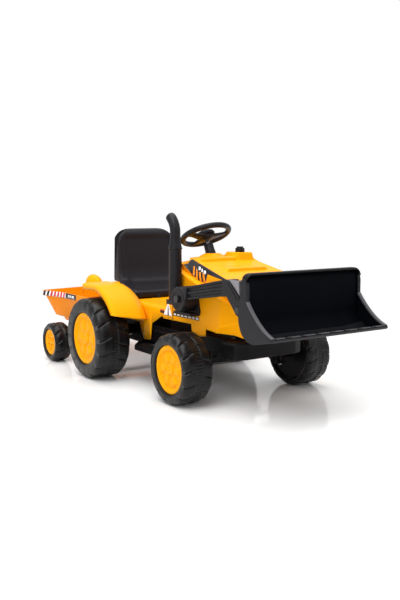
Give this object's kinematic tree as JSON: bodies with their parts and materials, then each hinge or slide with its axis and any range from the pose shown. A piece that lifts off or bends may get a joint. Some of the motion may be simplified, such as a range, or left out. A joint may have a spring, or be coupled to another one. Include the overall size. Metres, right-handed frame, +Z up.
{
  "type": "ride-on toy digger",
  "caption": "Child's ride-on battery tractor with a lifting front loader bucket, steered front wheels, tip-up seat and a pin-hitched open trailer.",
  "frame": {"origin": "on the floor, at the middle of the overall length and width", "axes": "+X is the direction of travel, +Y is the rider's left, +Z is up"},
  "size_m": [1.401, 0.65, 0.558],
  "materials": {
    "yellow_plastic": "moulded, semi-gloss",
    "black_plastic": "moulded, fine grain",
    "bucket_plastic": "moulded, satin",
    "tyre_plastic": "blow-moulded, satin",
    "zinc_steel": "zinc plated",
    "black_steel": "black coated steel",
    "red_plastic": "gloss",
    "lamp_lens": "clear-coated",
    "dark_internal": "plain moulded case"
  },
  "bodies": {
    "tractor": {"chassis_pan": "black_plastic", "front_subframe": "black_plastic", "front_axle_beam": "black_plastic", "kingpins": "zinc_steel", "front_bumper": "black_plastic", "body_shell": "yellow_plastic", "hood": "yellow_plastic", "grille": "black_plastic", "headlights": "lamp_lens", "dash_panel": "black_plastic", "column_boot": "black_plastic", "steering_support": "black_plastic", "filler_cap": "black_plastic", "exhaust_silencer": "black_plastic", "exhaust_pipe": "black_plastic", "loader_bracket_left": "black_plastic", "loader_bracket_right": "black_plastic", "loader_pivot_bolts": "black_steel", "footrest_left": "black_plastic", "footrest_right": "black_plastic", "battery": "dark_internal", "control_box": "dark_internal", "wiring_loom": "dark_internal", "rear_axle": "zinc_steel", "rear_axle_nuts": "zinc_steel", "gearmotor_left": "black_plastic", "gearmotor_right": "black_plastic", "hitch_bracket": "black_plastic"},
    "steering": {"steering_wheel": "black_plastic", "steering_pad": "black_plastic", "steering_column": "zinc_steel"},
    "horn": {"horn_button": "red_plastic"},
    "steer_left": {"knuckle_left": "black_plastic"},
    "steer_right": {"knuckle_right": "black_plastic"},
    "track_rod": {"tie_rod": "black_steel"},
    "front_left": {"front_wheel_left": "tyre_plastic", "front_hubcap_left": "yellow_plastic"},
    "front_right": {"front_wheel_right": "tyre_plastic", "front_hubcap_right": "yellow_plastic"},
    "rear_left": {"rear_wheel_left": "tyre_plastic", "rear_hubcap_left": "yellow_plastic"},
    "rear_right": {"rear_wheel_right": "tyre_plastic", "rear_hubcap_right": "yellow_plastic"},
    "loader": {"loader_arm_left": "black_plastic", "loader_arm_right": "black_plastic", "loader_cross_plate": "black_plastic", "bucket_pins": "black_steel"},
    "scoop": {"bucket": "bucket_plastic"},
    "saddle": {"seat": "black_plastic"},
    "pedal": {"accelerator_pedal": "black_plastic"},
    "rocker": {"direction_switch": "red_plastic"},
    "power": {"power_button": "red_plastic"},
    "pin": {"hitch_pin": "zinc_steel"},
    "trailer": {"trailer_frame": "black_plastic", "trailer_axle": "zinc_steel", "trailer_tub": "yellow_plastic"},
    "trailer_left": {"trailer_wheel_left": "tyre_plastic", "trailer_hubcap_left": "yellow_plastic"},
    "trailer_right": {"trailer_wheel_right": "tyre_plastic", "trailer_hubcap_right": "yellow_plastic"}
  },
  "joints": [
    {"name": "steering_turn", "type": "hinge", "parent": "tractor", "child": "steering", "pos_m": [0.1015, 0, 0.484], "axis": [-0.4384, 0, 0.8988], "range_deg": [-40, 40]},
    {"name": "horn_press", "type": "slide", "parent": "steering", "child": "horn", "axis": [0.4384, 0, -0.8988], "range_m": [0, 0.002]},
    {"name": "steer_left_turn", "type": "hinge", "parent": "tractor", "child": "steer_left", "pos_m": [0.3075, 0.15, 0.105], "axis": [0, 0, 1], "range_deg": [-26, 26]},
    {"name": "steer_right_turn", "type": "hinge", "parent": "tractor", "child": "steer_right", "pos_m": [0.3075, -0.15, 0.105], "axis": [0, 0, 1], "range_deg": [-26, 26]},
    {"name": "track_rod_swing", "type": "hinge", "parent": "steer_left", "child": "track_rod", "pos_m": [0.2625, 0.15, 0.094], "axis": [0, 0, 1], "range_deg": [-26, 26]},
    {"name": "front_left_spin", "type": "hinge", "parent": "steer_left", "child": "front_left", "pos_m": [0.3075, 0.228, 0.105], "axis": [0, 1, 0], "continuous": true},
    {"name": "front_right_spin", "type": "hinge", "parent": "steer_right", "child": "front_right", "pos_m": [0.3075, -0.228, 0.105], "axis": [0, 1, 0], "continuous": true},
    {"name": "rear_left_spin", "type": "hinge", "parent": "tractor", "child": "rear_left", "pos_m": [-0.1545, 0.27, 0.135], "axis": [0, 1, 0], "continuous": true},
    {"name": "rear_right_spin", "type": "hinge", "parent": "tractor", "child": "rear_right", "pos_m": [-0.1545, -0.27, 0.135], "axis": [0, 1, 0], "continuous": true},
    {"name": "loader_lift", "type": "hinge", "parent": "tractor", "child": "loader", "pos_m": [0.2525, 0, 0.301], "axis": [0, -1, 0], "range_deg": [-12, 35]},
    {"name": "bucket_tilt", "type": "hinge", "parent": "loader", "child": "scoop", "pos_m": [0.5455, 0, 0.3], "axis": [0, -1, 0], "range_deg": [-35, 18]},
    {"name": "seat_tip", "type": "hinge", "parent": "tractor", "child": "saddle", "pos_m": [-0.3225, 0, 0.3055], "axis": [0, -1, 0], "range_deg": [0, 60]},
    {"name": "pedal_press", "type": "hinge", "parent": "tractor", "child": "pedal", "pos_m": [0.0885, -0.175, 0.131], "axis": [0, 1, 0], "range_deg": [0, 14], "stiffness_Nm_per_rad": 0.4, "springref_deg": -17.19},
    {"name": "direction_select", "type": "hinge", "parent": "tractor", "child": "rocker", "pos_m": [0.1225, 0.03, 0.325], "axis": [0, 1, 0], "range_deg": [-10, 10]},
    {"name": "power_press", "type": "slide", "parent": "tractor", "child": "power", "axis": [1, 0, 0], "range_m": [0, 0.002]},
    {"name": "hitch_pin_lift", "type": "slide", "parent": "tractor", "child": "pin", "axis": [0, 0, 1], "range_m": [0, 0.06]},
    {"name": "trailer_swing", "type": "hinge", "parent": "tractor", "child": "trailer", "pos_m": [-0.3265, 0, 0.114], "axis": [0, 0, 1], "range_deg": [-15, 15]},
    {"name": "trailer_left_spin", "type": "hinge", "parent": "trailer", "child": "trailer_left", "pos_m": [-0.4815, 0.281, 0.072], "axis": [0, 1, 0], "continuous": true},
    {"name": "trailer_right_spin", "type": "hinge", "parent": "trailer", "child": "trailer_right", "pos_m": [-0.4815, -0.281, 0.072], "axis": [0, 1, 0], "continuous": true}
  ],
  "couplings": [
    {"joint": "steer_left_turn", "follows": "steering_turn", "ratio": 0.64},
    {"joint": "steer_right_turn", "follows": "steering_turn", "ratio": 0.64},
    {"joint": "track_rod_swing", "follows": "steering_turn", "ratio": -0.64}
  ]
}
